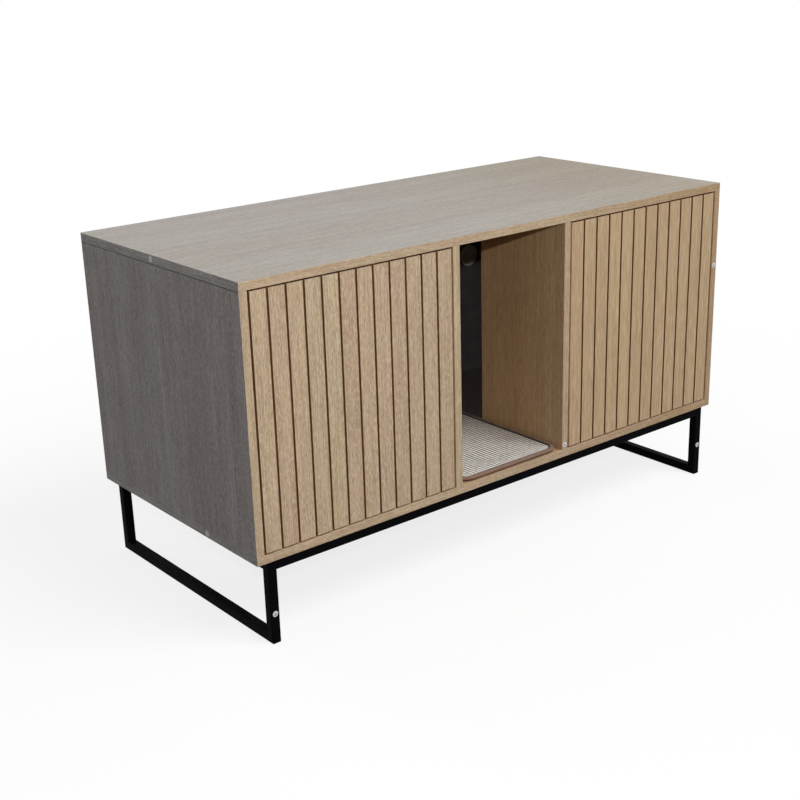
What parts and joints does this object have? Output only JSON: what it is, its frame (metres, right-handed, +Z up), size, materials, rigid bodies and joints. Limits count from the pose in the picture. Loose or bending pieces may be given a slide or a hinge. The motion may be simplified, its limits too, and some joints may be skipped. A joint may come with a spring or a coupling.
{
  "type": "cat house",
  "caption": "Low cabinet-style cat house with slatted side doors, an open middle niche with a mat, and a steel sled base.",
  "frame": {"origin": "on the floor, at the middle of the footprint", "axes": "+X to the right seen from the front, +Y towards the back, +Z up; the doors and the niche face -Y"},
  "size_m": [1.2, 0.538, 0.652],
  "materials": {
    "oak_top": "matt oak-look laminate, greyish on top",
    "oak": "matt oak-look laminate",
    "oak_slats": "matt oak-look laminate, each slat a little different",
    "brown_board": "dark brown board",
    "charcoal_board": "matt charcoal lacquered fibreboard",
    "beech": "raw beech",
    "black_steel": "matt black powder coat",
    "zinc": "zinc plated",
    "magnet": "nickel plated",
    "brown_nylon": "brown nylon",
    "latch_plastic": "light grey moulded plastic",
    "grey_plastic": "dark grey moulded plastic",
    "sisal": "pale woven sisal",
    "brown_tape": "brown woven edge tape"
  },
  "bodies": {
    "cabinet": {"top_panel": "oak_top", "bottom_panel": "oak", "left_side_panel": "oak", "right_side_panel": "oak", "left_divider": "oak", "right_divider": "oak", "back_panel": "charcoal_board", "cable_hole_plug": "grey_plastic", "cam_locks": "zinc", "cam_bolts": "zinc", "panel_dowels": "beech", "left_front_leg": "black_steel", "left_rear_leg": "black_steel", "left_skid": "black_steel", "left_top_tube": "black_steel", "right_front_leg": "black_steel", "right_rear_leg": "black_steel", "right_skid": "black_steel", "right_top_tube": "black_steel", "front_rail": "black_steel", "rear_rail": "black_steel", "base_screws": "zinc", "left_pivot_bushes": "brown_nylon", "right_pivot_bushes": "brown_nylon", "left_latch_housing": "latch_plastic", "right_latch_housing": "latch_plastic", "latch_screws": "zinc"},
    "left_door": {"left_door_board": "brown_board", "left_door_slats": "oak_slats", "left_pivot_pins": "zinc", "left_strike_plate": "zinc", "left_strike_screw": "zinc"},
    "right_door": {"right_door_board": "brown_board", "right_door_slats": "oak_slats", "right_pivot_pins": "zinc", "right_strike_plate": "zinc", "right_strike_screw": "zinc"},
    "left_latch_pin": {"left_latch_plunger": "latch_plastic", "left_latch_magnet": "magnet"},
    "right_latch_pin": {"right_latch_plunger": "latch_plastic", "right_latch_magnet": "magnet"},
    "mat": {"mat_weave": "sisal", "mat_binding": "brown_tape"}
  },
  "joints": [
    {"name": "left_door_swing", "type": "hinge", "parent": "cabinet", "child": "left_door", "pos_m": [-0.56598, -0.259, 0.4045], "axis": [0, 0, -1], "range_deg": [0, 110]},
    {"name": "right_door_swing", "type": "hinge", "parent": "cabinet", "child": "right_door", "pos_m": [0.56598, -0.259, 0.4045], "axis": [0, 0, 1], "range_deg": [0, 110]},
    {"name": "left_latch_push", "type": "slide", "parent": "cabinet", "child": "left_latch_pin", "axis": [0, -1, 0], "range_m": [0, 0.008]},
    {"name": "right_latch_push", "type": "slide", "parent": "cabinet", "child": "right_latch_pin", "axis": [0, -1, 0], "range_m": [0, 0.008]},
    {"name": "mat_draw", "type": "slide", "parent": "cabinet", "child": "mat", "axis": [0, -1, 0], "range_m": [0, 0.5]}
  ],
  "couplings": [
    {"joint": "left_latch_push", "follows": "left_door_swing", "m_per_rad": 0.004166},
    {"joint": "right_latch_push", "follows": "right_door_swing", "m_per_rad": 0.004166}
  ]
}
